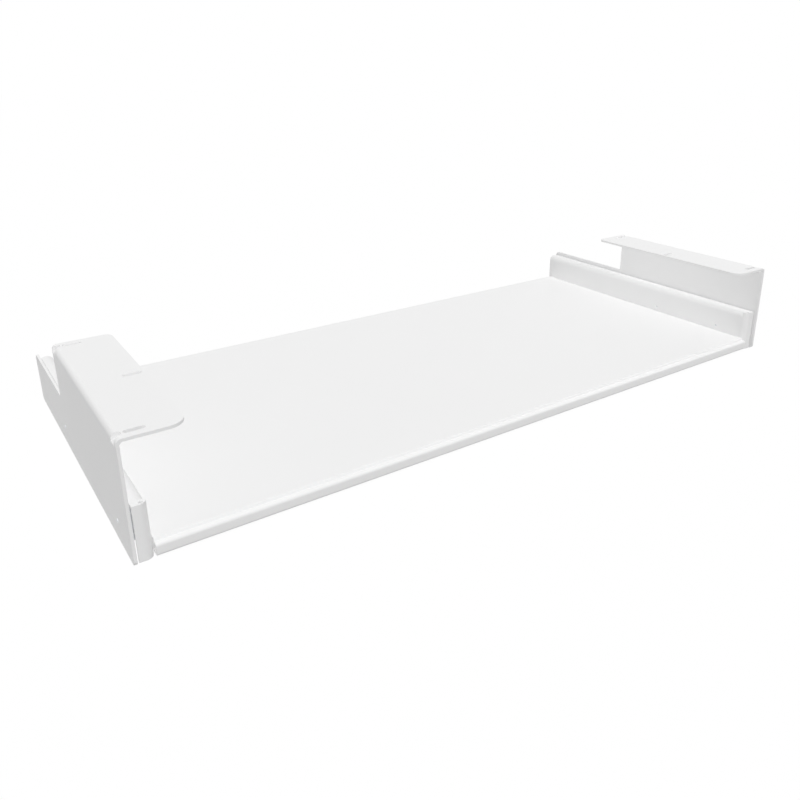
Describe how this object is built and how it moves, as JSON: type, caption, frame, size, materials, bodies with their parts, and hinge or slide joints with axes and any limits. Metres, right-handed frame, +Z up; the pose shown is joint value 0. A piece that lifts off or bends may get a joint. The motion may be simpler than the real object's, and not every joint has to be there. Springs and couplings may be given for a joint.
{
  "type": "keyboard tray",
  "caption": "Under-desk keyboard tray: a folded steel pan that pulls out on ball-bearing slides between two L-shaped brackets with slotted flanges for desk screws.",
  "frame": {"origin": "centre of the bounding box's base: on the line of the brackets' lower edges, midway between the brackets and midway along their depth", "axes": "+X to the user's right, -Y towards the user (the way the tray pulls out), +Z up"},
  "size_m": [0.7012, 0.3256, 0.0957],
  "materials": {
    "powder_coat": "white powder coat, satin",
    "slide_steel": "bright zinc plate",
    "cage_steel": "bright zinc plate",
    "ball_steel": "polished",
    "buffer_rubber": "matt",
    "lever_plastic": "satin",
    "rivet_steel": "bright zinc plate",
    "screw_steel": "bright zinc plate"
  },
  "bodies": {
    "brackets": {"left_bracket": "powder_coat", "left_slide_outer_member": "slide_steel", "left_closing_buffer": "buffer_rubber", "left_bracket_screws": "screw_steel", "right_bracket": "powder_coat", "right_slide_outer_member": "slide_steel", "right_closing_buffer": "buffer_rubber", "right_bracket_screws": "screw_steel"},
    "tray": {"tray_pan": "powder_coat", "left_side_panel": "powder_coat", "left_slide_inner_member": "slide_steel", "left_release_lever": "lever_plastic", "left_lever_rivet": "rivet_steel", "left_tray_screws": "screw_steel", "right_side_panel": "powder_coat", "right_slide_inner_member": "slide_steel", "right_release_lever": "lever_plastic", "right_lever_rivet": "rivet_steel", "right_tray_screws": "screw_steel"},
    "left_cage": {"left_ball_cage": "cage_steel", "left_balls": "ball_steel"},
    "right_cage": {"right_ball_cage": "cage_steel", "right_balls": "ball_steel"}
  },
  "joints": [
    {"name": "tray_slide", "type": "slide", "parent": "brackets", "child": "tray", "axis": [0, -1, 0], "range_m": [0, 0.215]},
    {"name": "left_cage_roll", "type": "slide", "parent": "brackets", "child": "left_cage", "axis": [0, -1, 0], "range_m": [0, 0.1075]},
    {"name": "right_cage_roll", "type": "slide", "parent": "brackets", "child": "right_cage", "axis": [0, -1, 0], "range_m": [0, 0.1075]}
  ],
  "couplings": [
    {"joint": "left_cage_roll", "follows": "tray_slide", "ratio": 0.5},
    {"joint": "right_cage_roll", "follows": "tray_slide", "ratio": 0.5}
  ]
}
